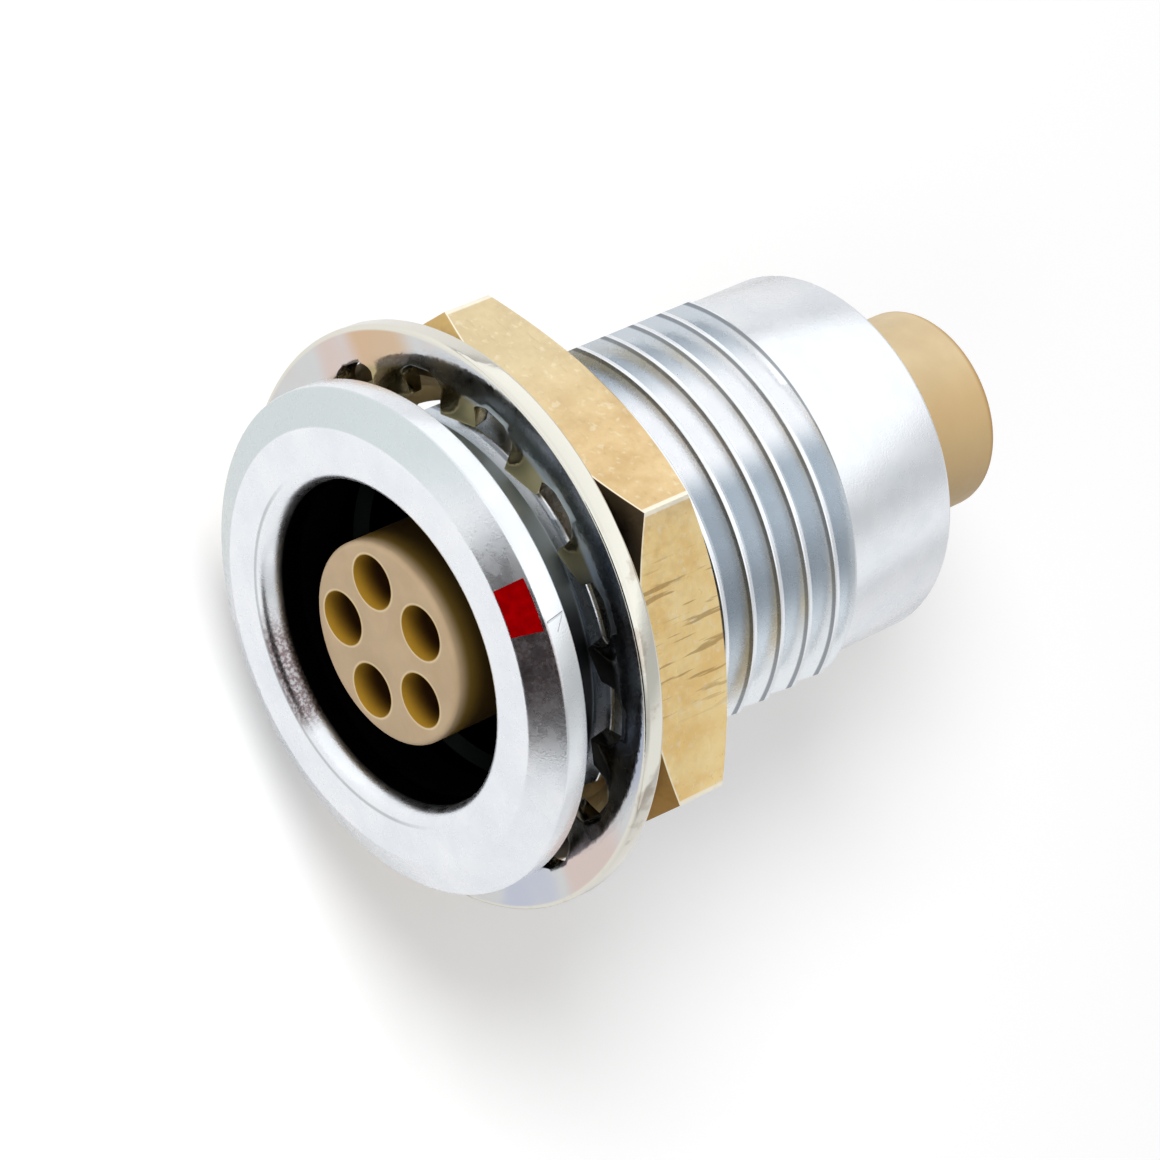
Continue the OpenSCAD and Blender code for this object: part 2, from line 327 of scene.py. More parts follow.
def shell():
    rim, neck = (RIM_SOFT, RIM_SOFT), (NECK_SOFT, NECK_SOFT)
    front = [
        *arc((BORE_R + ENTRY[0], FRONT + ENTRY[1]), ENTRY, 180, 270, 12),
        (FACE_R - 0.03, FRONT), (FACE_R + 0.012, FRONT + 0.004), bevel_point(FACE_R + 0.05),
        bevel_point(FLANGE_R - 0.06),
        *arc((FLANGE_R - RIM_SOFT, RIM_Y + 0.045), rim, -64, 0, 4),
        *arc((FLANGE_R - RIM_SOFT, -RIM_SOFT), rim, 0, 90, 4),
        *arc((NECK_R + NECK_SOFT, NECK_SOFT), neck, 270, 180, 3), (NECK_R, THREAD_START)]
    rear_chamfer = 0.15
    back = [
        (BARREL_R, THREAD_END), (BARREL_R, BARREL_END - 0.17),
        (BARREL_R - 0.03, BARREL_END - 0.09), (BARREL_R - 0.1, BARREL_END - 0.02),
        (BARREL_R - BARREL_SOFT, BARREL_END),
        (REAR_BORE_R + rear_chamfer, BARREL_END), (REAR_BORE_R, BARREL_END - rear_chamfer),
        (REAR_BORE_R, REAR_BORE_Y), (BORE_R, REAR_BORE_Y), (BORE_R, LATCH_END),
        (LATCH_R, LATCH_END - LATCH_R + BORE_R), (LATCH_R, LATCH_Y), (BORE_R, LATCH_Y)]
    run_out = 1.2
    end_r = THREAD_R - 0.18
    threads = thread_columns(THREAD_START, THREAD_END, lambda r, y: min(
        r, NECK_R + (y - THREAD_START) * run_out, end_r + (THREAD_END - y) * run_out))
    body = threaded("shell", front, threads, back)
    outside = 8
    for side in (-1, 1):
        flat = block("flat", (min(side * FLATS_X, side * outside), 0.001, -outside - 0.1),
                     (max(side * FLATS_X, side * outside), THREAD_END + 1, outside + 0.1))
        combine(body, flat, "DIFFERENCE")
    combine(body, block("keyway", (-KEYWAY_W / 2, FRONT - 1, REAR_BORE_R - 1),
                        (KEYWAY_W / 2, REAR_BORE_Y + 0.3, REAR_BORE_R - 0.03)), "DIFFERENCE")
    above = 0.2
    recess = [bevel_point(MARK_R[0], above), bevel_point(MARK_R[1], above),
              bevel_point(MARK_R[1], -MARK_DEPTH), bevel_point(MARK_R[0], -MARK_DEPTH)]
    sector = (MARK_TURN - MARK_HALF, MARK_TURN + MARK_HALF)
    combine(body, lathe("recess", recess, 24, sector), "DIFFERENCE")
    return smooth(body, 24)


def drill(piece, profile):
    """Drills the ring of contact passages through a piece. The profile is of (radius, y) points."""
    segments = 64
    half_segment = Matrix.Rotation(TAU / segments / 2, 4, "Y")
    for i in range(CONTACTS):
        tool = lathe("drill", [(0, profile[0][1]), *profile, (0, profile[-1][1])], segments)
        place = Matrix.Translation(polar(CONTACT_RING, 0, TAU * i / CONTACTS))
        tool.data.transform(place @ half_segment)
        combine(piece, tool, "DIFFERENCE")


def front_insulator():
    soft = NOSE_SOFT
    piece = lathe("nose", [
        (0, NOSE_Y), *arc((NOSE_R - soft, NOSE_Y + soft), (soft, soft), 270, 360, 6),
        (NOSE_R, COLLAR_Y), (COLLAR_R - COLLAR_CHAMFER, COLLAR_Y),
        (COLLAR_R, COLLAR_Y + COLLAR_CHAMFER), (COLLAR_R, SPLIT_Y), (0, SPLIT_Y)],
        INSULATOR_SEGMENTS)
    step = SPLIT_Y - POCKET_HALF
    drill(piece, [(PASSAGE_R, NOSE_Y - 1), (PASSAGE_R, step),
                  (POCKET_R, step), (POCKET_R, SPLIT_Y + 1)])
    round_edges(piece, 0.055, 3, 60)
    return smooth(piece)


def rear_insulator():
    soft = STUB_SOFT
    piece = lathe("stub", [
        (0, SPLIT_Y), (COLLAR_R, SPLIT_Y), (COLLAR_R, COLLAR_END - COLLAR_CHAMFER),
        (COLLAR_R - COLLAR_CHAMFER, COLLAR_END), (STUB_R, COLLAR_END),
        *arc((STUB_R - soft, STUB_END - soft), (soft, soft), 0, 90, 8), (0, STUB_END)],
        INSULATOR_SEGMENTS)
    step = SPLIT_Y + POCKET_HALF
    drill(piece, [(POCKET_R, SPLIT_Y - 1), (POCKET_R, step),
                  (PASSAGE_R, step), (PASSAGE_R, STUB_END + 1)])
    round_edges(piece, 0.035, 3, 60)
    return smooth(piece)


def nut():
    """Hexagon cut to a chamfered blank, with an inner thread that meshes with the shell's."""
    bm = bmesh.new()
    ends = [[bm.verts.new(polar(NUT_CORNER_R, y, NUT_TURN + TAU * i / 6)) for i in range(6)]
            for y in (NUT_Y, NUT_END)]
    for end in ends:
        face(bm, end)
    for i in range(6):
        j = (i + 1) % 6
        face(bm, [ends[0][i], ends[0][j], ends[1][j], ends[1][i]])
    piece = make("nut", bm)
    over = 0.01
    wide = NUT_CHAMFER + over
    out = NUT_CORNER_R + 0.6
    rise = (out - NUT_FLAT_R) * SLOPE_30
    blank = lathe("nut_blank", [
        (NUT_BORE_R, NUT_Y + NUT_CHAMFER), (NUT_BORE_R + wide, NUT_Y - over),
        (NUT_FLAT_R - over, NUT_Y - over), (NUT_FLAT_R + over, NUT_Y),
        (out, NUT_Y + rise), (out, NUT_END - rise),
        (NUT_FLAT_R + over, NUT_END), (NUT_FLAT_R - over, NUT_END + over),
        (NUT_BORE_R + wide, NUT_END + over), (NUT_BORE_R, NUT_END - NUT_CHAMFER)])
    combine(piece, blank, "INTERSECT")
    round_edges(piece, 0.045, 3, 14)
    low, high = NUT_Y + 0.26, NUT_END - 0.26
    buried = NUT_BORE_R + 0.3
    threads = thread_columns(low, high, lambda r, y: max(
        r + THREAD_ROOM,
        NUT_BORE_R + NUT_CHAMFER - min(y - NUT_Y, NUT_END - y) * wide / NUT_CHAMFER))
    ring = threaded("nut_thread", [], threads, [(buried, high), (buried, low)])
    combine(piece, ring, "UNION")
    return smooth(piece, 40)


def tooth_half_width(r):
    """Half width of a tooth at radius r: nearly parallel at the tip, flared at its root."""
    flare = max(0.0, 1 - (TOOTH_ROOT_R - r) / FLARE_REACH)
    out = (r - TOOTH_TIP_R) / (TOOTH_ROOT_R - TOOTH_TIP_R)
    return TOOTH_TIP_HALF + TOOTH_TAPER * out + FLARE * flare ** 2.2


def washer():
    """Ring and twisted teeth as one skin: two sheets of rows of vertices, joined at their rims."""
    lip = WASHER_LIP
    half = WASHER_T / 2
    tooth_columns, gap_columns = 12, 6
    sector = TAU / TEETH
    root_half = tooth_half_width(TOOTH_ROOT_R) / TOOTH_ROOT_R
    turns = []
    for t in range(TEETH):
        middle = TOOTH_FIRST + sector * t
        turns += [middle + root_half * (2 * i / tooth_columns - 1) for i in range(tooth_columns)]
        turns += [middle + root_half + (sector - 2 * root_half) * i / gap_columns
                  for i in range(gap_columns)]
    ring_rows = [(TOOTH_ROOT_R, half), (TOOTH_ROOT_R + 0.25, half), (WASHER_R - lip, half)]
    ring_rows += arc((WASHER_R - lip, half - lip), (lip, lip), 90, 0, 6)[1:]
    bm = bmesh.new()
    count = len(turns)

    def sheet(side):
        rows = [[bm.verts.new(polar(r, side * h, a)) for a in turns] for r, h in ring_rows]
        for a, b in zip(rows, rows[1:]):
            for i in range(count):
                face(bm, [a[i], a[(i + 1) % count], b[(i + 1) % count], b[i]])
        return rows

    def tooth_sheet(side, root, middle):
        """Rows from the root to the tip, each turned a little further about the tooth's line."""
        rows = [root]
        steps = 12
        for k in range(1, steps + 1):
            share = k / steps
            r = TOOTH_ROOT_R + (TOOTH_TIP_R - TOOTH_ROOT_R) * share
            twist = TOOTH_TWIST * (3 * share ** 2 - 2 * share ** 3)
            t = side * (half - TOOTH_THINNING * share)
            row = []
            for i in range(tooth_columns + 1):
                w = tooth_half_width(r) * (2 * i / tooth_columns - 1)
                across = w * math.cos(twist) - t * math.sin(twist)
                up = w * math.sin(twist) + t * math.cos(twist)
                bulge = math.sqrt(max(r * r - across * across, 0)) if share < 0.3 else r
                row.append(bm.verts.new(
                    Matrix.Rotation(middle, 3, "Y") @ Vector((across, up, bulge))))
            rows.append(row)
        for a, b in zip(rows, rows[1:]):
            for i in range(tooth_columns):
                face(bm, [a[i], a[i + 1], b[i + 1], b[i]])
        return rows

    front, back = sheet(-1), sheet(1)
    for i in range(count):
        j = (i + 1) % count
        face(bm, [front[-1][i], front[-1][j], back[-1][j], back[-1][i]])
    for t in range(TEETH):
        first = t * (tooth_columns + gap_columns)
        index = [(first + i) % count for i in range(tooth_columns + 1)]
        middle = TOOTH_FIRST + sector * t
        low = tooth_sheet(-1, [front[0][i] for i in index], middle)
        high = tooth_sheet(1, [back[0][i] for i in index], middle)
        for a, b, c, d in zip(low, low[1:], high, high[1:]):
            face(bm, [a[0], b[0], d[0], c[0]])
            face(bm, [a[-1], b[-1], d[-1], c[-1]])
        for i in range(tooth_columns):
            face(bm, [low[-1][i], low[-1][i + 1], high[-1][i + 1], high[-1][i]])
        for g in range(gap_columns):
            i, j = (index[-1] + g) % count, (index[-1] + g + 1) % count
            face(bm, [front[0][i], front[0][j], back[0][j], back[0][i]])
    bmesh.ops.remove_doubles(bm, verts=bm.verts[:], dist=1e-4)
    lean = Matrix.Rotation(WASHER_LEAN[1], 4, "Z") @ Matrix.Rotation(WASHER_LEAN[0], 4, "X")
    bm.transform(Matrix.Translation((0, WASHER_MID, 0)) @ lean)
    piece = make("washer", bm)
    round_edges(piece, 0.03, 2, 50)
    return smooth(piece, 35)


# ---------------------------------------------------------------- materials

class Finish:
    """A node material around one Principled shader, in object coordinates in millimetres."""

    def __init__(self, name):
        self.material = bpy.data.materials.new(name)
        self.material.use_nodes = True
        self.tree = self.material.node_tree
        self.shader = self.tree.nodes["Principled BSDF"]
        place = self.node("ShaderNodeTexCoord")
        scale = self.node("ShaderNodeVectorMath", operation="SCALE")
        scale.inputs["Scale"].default_value = 1 / MM
        self.link(place.outputs["Object"], scale.inputs[0])
        self.mm = scale.outputs[0]

    def node(self, kind, **settings):
        made = self.tree.nodes.new(kind)
        for key, value in settings.items():
            setattr(made, key, value)
        return made

    def link(self, a, b):
        self.tree.links.new(a, b)

    def set(self, **values):
        for key, value in values.items():
            self.shader.inputs[key.replace("_", " ")].default_value = value

    def noise(self, size, detail, stretch=(1, 1, 1)):
        """Noise with features of about the given size in millimetres, from 0 to 1."""
        squeeze = self.node("ShaderNodeVectorMath", operation="MULTIPLY")
        squeeze.inputs[1].default_value = [1 / (size * s) for s in stretch]
        self.link(self.mm, squeeze.inputs[0])
        made = self.node("ShaderNodeTexNoise")
        made.inputs["Scale"].default_value = 1
        made.inputs["Detail"].default_value = detail
        made.inputs["Roughness"].default_value = 0.55
        self.link(squeeze.outputs[0], made.inputs["Vector"])
        return made.outputs["Fac"]

    def ramp(self, value, low, high, to_low=0.0, to_high=1.0):
        """Maps low..high to to_low..to_high, clamped and eased."""
        made = self.node("ShaderNodeMapRange", interpolation_type="SMOOTHSTEP")
        for key, v in zip(("From Min", "From Max", "To Min", "To Max"),
                          (low, high, to_low, to_high)):
            made.inputs[key].default_value = v
        self.plug(value, made.inputs["Value"])
        return made.outputs["Result"]

    def plug(self, value, socket):
        if isinstance(value, (int, float)):
            socket.default_value = value
        elif isinstance(value, tuple):
            socket.default_value = (*value, 1) if len(value) == 3 else value
        else:
            self.link(value, socket)

    def band(self, value, start, full, last, end):
        """1 from full to last, eased to 0 at start and at end."""
        return self.product(self.ramp(value, start, full), self.ramp(value, end, last))

    def op(self, operation, a, b=0.0):
        made = self.node("ShaderNodeMath", operation=operation)
        self.plug(a, made.inputs[0])
        self.plug(b, made.inputs[1])
        return made.outputs[0]

    def product(self, first, *others):
        for other in others:
            first = self.op("MULTIPLY", first, other)
        return first

    def spread(self, value, low, high):
        """Maps 0..1 to low..high in a straight line."""
        return self.op("ADD", self.op("MULTIPLY", value, high - low), low)

    def length(self, a, b):
        return self.op("SQRT", self.op("ADD", self.product(a, a), self.product(b, b)))

    def mix(self, factor, a, b):
        made = self.node("ShaderNodeMix", data_type="RGBA")
        self.plug(factor, made.inputs["Factor"])
        self.plug(a, made.inputs["A"])
        self.plug(b, made.inputs["B"])
        return made.outputs["Result"]

    def axes(self):
        """x, y, z and the distance from the connector's axis, in millimetres."""
        split = self.node("ShaderNodeSeparateXYZ")
        self.link(self.mm, split.inputs[0])
        x, y, z = split.outputs
        return x, y, z, self.length(x, z)

    def bump(self, height, depth):
        """Bump from a height from 0 to 1 that stands for a depth in millimetres."""
        made = self.node("ShaderNodeBump")
        made.inputs["Strength"].default_value = 1
        made.inputs["Distance"].default_value = depth * MM
        self.plug(height, made.inputs["Height"])
        self.link(made.outputs["Normal"], self.shader.inputs["Normal"])

    def colour(self, value):
        self.plug(value, self.shader.inputs["Base Color"])

    def roughness(self, value):
        self.plug(value, self.shader.inputs["Roughness"])


def scratch(m, y, along, at, slope, low, high, width):
    """1 on a fine line on the flange's rim: along is the way round, at + slope * y its middle."""
    middle = m.op("ADD", m.op("MULTIPLY", y, slope), at)
    away = m.op("ABSOLUTE", m.op("SUBTRACT", along, middle))
    soft = 0.02
    ends = m.band(y, low - soft, low + soft, high - soft, high + soft)
    return m.product(m.ramp(away, width, width / 3), ends)


def shell_finish():
    """Satin chrome. The places in x and z are those of painted highlights and painted shade: bright
    and dull streaks and dark patches.
    """
    m = Finish("satin_chrome")
    m.set(Metallic=1.0)
    x, y, z, r = m.axes()
    cloud = m.ramp(m.noise(1.4, 3), 0.25, 0.75)
    metal = m.mix(cloud, (0.85, 0.885, 0.93), (0.93, 0.95, 0.975))

    # Thread: flanks painted with a highlight streak, painted shade beside it and lighter again
    # towards +x, and a painted dark line below each crest.
    thread = m.band(y, 1.25, 1.35, THREAD_END - 0.04, THREAD_END - 0.01)
    flank = m.band(r, BARREL_R + 0.08, BARREL_R + 0.14, THREAD_R - 0.035, THREAD_R - 0.015)
    painted_sheen = m.band(x, -4.6, -3.0, -1.4, -0.2)
    side = m.mix(m.ramp(x, 2.6, 4.4), (0.62, 0.67, 0.72), (0.90, 0.94, 0.97))
    metal = m.mix(m.product(thread, flank), metal, m.mix(painted_sheen, side, (0.97, 0.98, 1.0)))
    # A painted dark line below each crest: painted shade.
    line = m.band(r, THREAD_R - 0.13, THREAD_R - 0.09, THREAD_R - 0.03, THREAD_R - 0.015)
    metal = m.mix(m.product(thread, line, 0.8), metal, (0.20, 0.22, 0.25))

    # Rear face of the flange, and the neck behind it: painted shade between the flange and the
    # washer, with the neck painted lighter towards -x and near black towards +x.
    seat_shade = m.product(m.band(y, -0.02, -0.003, 0.05, 0.08),
                     m.band(r, NECK_R, NECK_R + 0.08, FLANGE_R - 0.03, FLANGE_R - 0.01))
    metal = m.mix(seat_shade, metal, (0.38, 0.40, 0.42))
    neck = m.product(m.ramp(r, NECK_R + 0.2, NECK_R + 0.02), m.band(y, 0.0, 0.06, 1.3, 1.4))
    pale = m.mix(m.ramp(x, -4.5, -1.0), (0.60, 0.67, 0.68), (0.50, 0.57, 0.58))
    metal = m.mix(neck, metal, m.mix(m.ramp(x, -0.8, 1.2), pale, (0.05, 0.055, 0.06)))

    # Bevel and rim of the flange: painted shade on the bevel towards -x and on the rim towards +x,
    # and a painted dark reflection on the bevel beside the mark.
    bevel = m.product(m.ramp(r, FACE_R + 0.01, FACE_R + 0.07),
                      m.ramp(y, RIM_Y + 0.05, RIM_Y - 0.03))
    metal = m.mix(m.product(bevel, m.ramp(x, -2, -4.5)), metal, (0.66, 0.72, 0.73))
    rim = m.product(m.ramp(r, FLANGE_R - 0.07, FLANGE_R - 0.02), m.band(x, 0.4, 1.6, 3.4, 5.2))
    metal = m.mix(m.product(rim, m.ramp(z, 0, 2, 0, 0.3)), metal, (0.40, 0.43, 0.42))
    fleck = m.ramp(m.noise(0.09, 2), 0.35, 0.6)
    painted_reflection = m.product(bevel, m.band(x, 0.5, 0.8, 1.8, 4.0), m.ramp(z, 0, 2),
                      m.spread(fleck, 0.55, 0.8))
    metal = m.mix(painted_reflection, metal, (0.26, 0.16, 0.16))

    # Entry of the bore: painted shade opposite the key, and a painted dark line where the rounding
    # starts.
    entry_shade = m.product(m.ramp(r, BORE_R + 0.48, BORE_R + 0.4), m.band(x, -2.2, -1.0, 1.0, 1.7),
                      m.ramp(z, -3.6, -4.2), m.ramp(y, FRONT + 0.65, FRONT + 0.6),
                      m.spread(fleck, 0.5, 0.9))
    metal = m.mix(entry_shade, metal, (0.16, 0.10, 0.10))
    crease = m.band(r, BORE_R + 0.36, BORE_R + 0.42, BORE_R + 0.46, BORE_R + 0.51)
    metal = m.mix(m.product(crease, m.ramp(z, -0.5, -2.5), 0.55), metal, (0.34, 0.36, 0.37))

    # Thread next to the nut, darkened towards +x by painted shadow of the nut, and the nick in the
    # flange's rim.
    nut_shadow = m.product(m.ramp(y, NUT_END + 2.0, NUT_END + 0.4), m.ramp(x, -1.5, 1.0),
                       thread, flank)
    metal = m.mix(m.product(nut_shadow, 0.7), metal, (0.34, 0.37, 0.41))
    along = m.product(m.op("ARCTAN2", x, z), FLANGE_R)
    nick = m.op("MAXIMUM", scratch(m, y, along, 0.655, -0.18, -0.62, -0.08, 0.035),
                m.product(scratch(m, y, along, 0.587, -1.22, -0.40, -0.12, 0.03), 0.5))
    nick = m.product(nick, m.ramp(r, FLANGE_R - 0.1, FLANGE_R - 0.05), m.ramp(z, 5, 6))
    metal = m.mix(m.product(nick, 0.5), metal, (0.45, 0.50, 0.52))

    # Painted shade: the bore behind its entry is painted black, with a dimmed specular tint.
    bore_shade = m.product(m.ramp(r, LATCH_R + 0.06, LATCH_R), m.ramp(y, FRONT + 0.42, FRONT + 0.6))
    m.colour(m.mix(bore_shade, metal, (0.006, 0.007, 0.007)))
    tint = m.mix(bore_shade, (1, 1, 1), (0.08, 0.08, 0.08))
    m.plug(tint, m.shader.inputs["Specular Tint"])
    rough = m.ramp(m.noise(0.5, 3), 0.3, 0.7, 0.24, 0.3)
    rough = m.op("ADD", rough, m.product(bore_shade, 0.1))
    m.roughness(m.op("ADD", rough, m.product(neck, 0.2)))
    m.bump(m.op("SUBTRACT", m.product(m.noise(0.06, 1), 0.13), nick), 0.02)
    return m.material


def crown_finish():
    # The crown sits deep in the bore: its nickel is painted nearly black, with a dimmed specular
    # tint, as painted shade.
    m = Finish("dull_nickel_in_painted_shade")
    m.set(Metallic=1.0, Specular_Tint=(0.08, 0.08, 0.08, 1))
    m.colour(m.mix(m.noise(0.4, 3), (0.005, 0.005, 0.005), (0.009, 0.009, 0.008)))
    m.roughness(0.4)
    return m.material


def washer_finish():
    """Bright nickel with warm and cool tints and a cream edge; painted shade darkens the edge in
    patches and the teeth towards +x.
    """
    m = Finish("bright_nickel")
    m.set(Metallic=1.0)
    x, _, z, r = m.axes()
    tint = m.noise(3.2, 1.5)
    ring = m.mix(m.ramp(tint, 0.38, 0.5), (0.56, 0.59, 0.69), (0.66, 0.67, 0.67))
    ring = m.mix(m.ramp(tint, 0.5, 0.66), ring, (0.70, 0.58, 0.54))
    patch = m.product(m.band(z, 0.4, 1.2, 2.6, 3.6), m.ramp(x, -6.4, -6.9))
    ring = m.mix(m.product(patch, 0.8), ring, (0.66, 0.45, 0.26))
    # Painted shade: towards +x the cream edge darkens in patches and the teeth go from olive-brown
    # to near black.
    mottle_and_shade = m.product(m.ramp(m.noise(0.9, 4), 0.54, 0.66), m.ramp(x, -1.5, 0.5, 0, 0.45))
    cream = m.mix(mottle_and_shade, (0.78, 0.76, 0.68), (0.40, 0.30, 0.22))
    ring = m.mix(m.ramp(r, WASHER_R - 0.17, WASHER_R - 0.1), ring, cream)
    teeth = m.mix(m.ramp(x, -1.5, 1.0), (0.46, 0.37, 0.20), (0.10, 0.09, 0.07))
    m.colour(m.mix(m.ramp(r, TOOTH_ROOT_R - 0.02, TOOTH_ROOT_R - 0.22), ring, teeth))
    m.roughness(m.ramp(m.noise(0.6, 3), 0.3, 0.7, 0.06, 0.14))
    m.bump(m.noise(0.25, 3), 0.004)
    return m.material


def nut_finish():
    """Plain brass with machining lines, painted paler on one side and deeper on the other, with
    painted glints, a painted highlight along the edges and painted shade darkening the chamfers and
    ends.
    """
    m = Finish("plain_brass")
    m.set(Metallic=1.0)
    x, y, _, r = m.axes()
    cloud = m.ramp(m.noise(0.9, 4, (1, 1.3, 1)), 0.3, 0.7)
    speck = m.noise(0.16, 3)
    # Painted light and shade: pale brass towards -x and deep brass towards +x, greyer still far
    # towards -x, and light flecks as painted glints.
    pale = m.mix(cloud, (0.68, 0.48, 0.24), (0.82, 0.62, 0.34))
    deep = m.mix(cloud, (0.91, 0.63, 0.26), (1.0, 0.78, 0.40))
    brass = m.mix(m.ramp(x, -1, 0), pale, deep)
    brass = m.mix(m.ramp(speck, 0.62, 0.75, 0, 0.35), brass, (0.55, 0.39, 0.18))
    brass = m.mix(m.product(m.ramp(x, -2.5, -6), 0.6), brass, (0.74, 0.64, 0.42))
    brass = m.mix(m.ramp(m.noise(0.22, 3), 0.56, 0.7, 0, 0.35), brass, (0.95, 0.86, 0.66))
    lines = m.ramp(m.noise(0.14, 2, (1, 12, 1)), 0.58, 0.66)
    lines = m.product(lines, m.band(x, 0, 1, 3.5, 5), 0.6)
    brass = m.mix(lines, brass, (0.36, 0.22, 0.08))

    # How far out of the front chamfer's cone a point lies: 0 on the chamfer.
    cone = m.product(m.op("SUBTRACT", y, NUT_Y), 1 / SLOPE_30)
    front = m.op("SUBTRACT", m.op("SUBTRACT", r, NUT_FLAT_R), cone)
    # Pale line along the corners and along the front chamfer's edge: painted highlight.
    edge = m.band(front, -0.13, -0.09, -0.05, -0.04)
    pale_edge = m.op("MAXIMUM", m.ramp(r, NUT_CORNER_R - 0.07, NUT_CORNER_R - 0.045), edge)
    brass = m.mix(m.product(pale_edge, 0.85), brass, (1.0, 0.95, 0.82))
    # The front chamfer darkened, most towards +x: painted shade.
    chamfer = m.product(m.ramp(front, -0.035, -0.015),
                        m.ramp(r, NUT_FLAT_R + 0.02, NUT_FLAT_R + 0.06),
                        m.ramp(y, NUT_Y + 1.0, NUT_Y + 0.8))
    dark = m.mix(m.ramp(x, 3, 5), (0.05, 0.035, 0.02), (0.30, 0.17, 0.05))
    dark = m.mix(m.ramp(x, -2, -4), dark, (0.62, 0.43, 0.17))
    brass = m.mix(chamfer, brass, dark)
    # The front face darkened, and the rear face less so: painted shade.
    end = m.op("MAXIMUM", m.ramp(y, NUT_Y + 0.03, NUT_Y + 0.01),
               m.product(m.ramp(y, NUT_END - 0.03, NUT_END - 0.01), 0.6))
    m.colour(m.mix(end, brass, (0.16, 0.13, 0.09)))
    m.roughness(m.ramp(speck, 0.3, 0.7, 0.28, 0.42))
    score = m.ramp(m.noise(0.14, 2, (6, 1, 6)), 0.62, 0.7, 0.5, 0)
    m.bump(m.op("ADD", m.product(speck, 0.5), score), 0.008)
    return m.material


def passage_walls(m, outer=0.035, inner=0.005):
    """1 on the walls of the contact passages, 0 past a distance outside of them."""
    x, _, z, r = m.axes()
    sector = TAU / CONTACTS
    turn = m.op("ARCTAN2", x, z)
    whole = m.op("ROUND", m.op("MULTIPLY", turn, 1 / sector))
    turn = m.op("SUBTRACT", turn, m.op("MULTIPLY", whole, sector))
    across = m.product(r, m.op("SINE", turn))
    out = m.op("SUBTRACT", m.product(r, m.op("COSINE", turn)), CONTACT_RING)
    return m.ramp(m.length(across, out), PASSAGE_R + outer, PASSAGE_R + inner)


def plastic_finish(name, pale, deep):
    """A plastic's material and its base colour. finish_plastic ends it."""
    m = Finish(name)
    m.set(Metallic=0.0, Specular_IOR_Level=0.3)
    return m, m.mix(m.ramp(m.noise(1.3, 4), 0.3, 0.7), deep, pale)


def finish_plastic(m, colour):
    m.colour(colour)
    m.roughness(m.ramp(m.noise(0.3, 3), 0.3, 0.7, 0.4, 0.52))
    m.bump(m.noise(0.09, 3), 0.004)
    return m.material


def front_plastic():
    """Tan, with painted shade browning the nose's side and the passages deeper in, and pale rims
    round the passages at the nose's face.
    """
    m, tan = plastic_finish("front_tan", (0.56, 0.41, 0.25), (0.50, 0.36, 0.215))
    _, y, _, r = m.axes()
    # The nose's side darkens deeper into the bore: painted shade.
    side = m.product(m.ramp(r, NOSE_R - 0.1, NOSE_R - 0.01),
                     m.ramp(y, NOSE_Y + 0.1, NOSE_Y + 0.5))
    dark = m.mix(m.ramp(y, NOSE_Y + 0.35, NOSE_Y + 1.1), (0.20, 0.12, 0.02), (0.055, 0.03, 0.007))
    tan = m.mix(side, tan, dark)
    pale_edge = m.product(passage_walls(m, 0.1, 0.03), m.ramp(y, NOSE_Y + 0.05, NOSE_Y + 0.01), 0.7)
    tan = m.mix(pale_edge, tan, (0.80, 0.66, 0.42))
    # The passages darken deeper in: painted shade.
    passage_shade = m.mix(m.ramp(y, NOSE_Y, NOSE_Y + 0.8), (0.38, 0.21, 0.02), (0.035, 0.012, 0.002))
    return finish_plastic(m, m.mix(passage_walls(m), tan, passage_shade))


def rear_plastic():
    """Paler tan, with painted shade deepening it towards +x and in the passages, and deeper at the
    stub's edge.
    """
    m, tan = plastic_finish("rear_tan", (0.76, 0.60, 0.36), (0.69, 0.53, 0.31))
    x, y, _, r = m.axes()
    # Deeper towards +x: painted shade.
    tan = m.mix(m.ramp(x, -1.6, 0.4, 0, 0.75), tan, (0.62, 0.42, 0.19))
    edge = m.product(m.ramp(y, STUB_END - 0.3, STUB_END - 0.12),
                     m.ramp(r, STUB_R - 0.25, STUB_R - 0.12), 0.7)
    tan = m.mix(edge, tan, (0.46, 0.24, 0.05))
    # The passages painted dark: painted shade.
    return finish_plastic(m, m.mix(passage_walls(m), tan, (0.12, 0.05, 0.01)))


def gold_finish():
    m = Finish("gold_plate")
    m.set(Metallic=1.0)
    m.colour(m.mix(m.noise(0.4, 3), (0.80, 0.55, 0.18), (0.90, 0.68, 0.30)))
    m.roughness(m.ramp(m.noise(0.2, 3), 0.3, 0.7, 0.2, 0.32))
    m.bump(m.noise(0.08, 2), 0.002)
    return m.material


def mark_finish():
    m = Finish("red_paint")
    m.set(Metallic=0.0, Specular_IOR_Level=0.0)
    m.colour(m.mix(m.ramp(m.noise(0.3, 3), 0.35, 0.7), (0.22, 0.0, 0.0005), (0.31, 0.0, 0.001)))
    m.roughness(m.ramp(m.noise(0.2, 2), 0.3, 0.7, 0.35, 0.45))
    m.bump(m.noise(0.12, 2), 0.004)
    return m.material


def dress(piece, material):
    if not piece.material_slots:
        piece.data.materials.append(material)
    for s in piece.material_slots:
        s.material = material


# ---------------------------------------------------------------- stage, light, camera

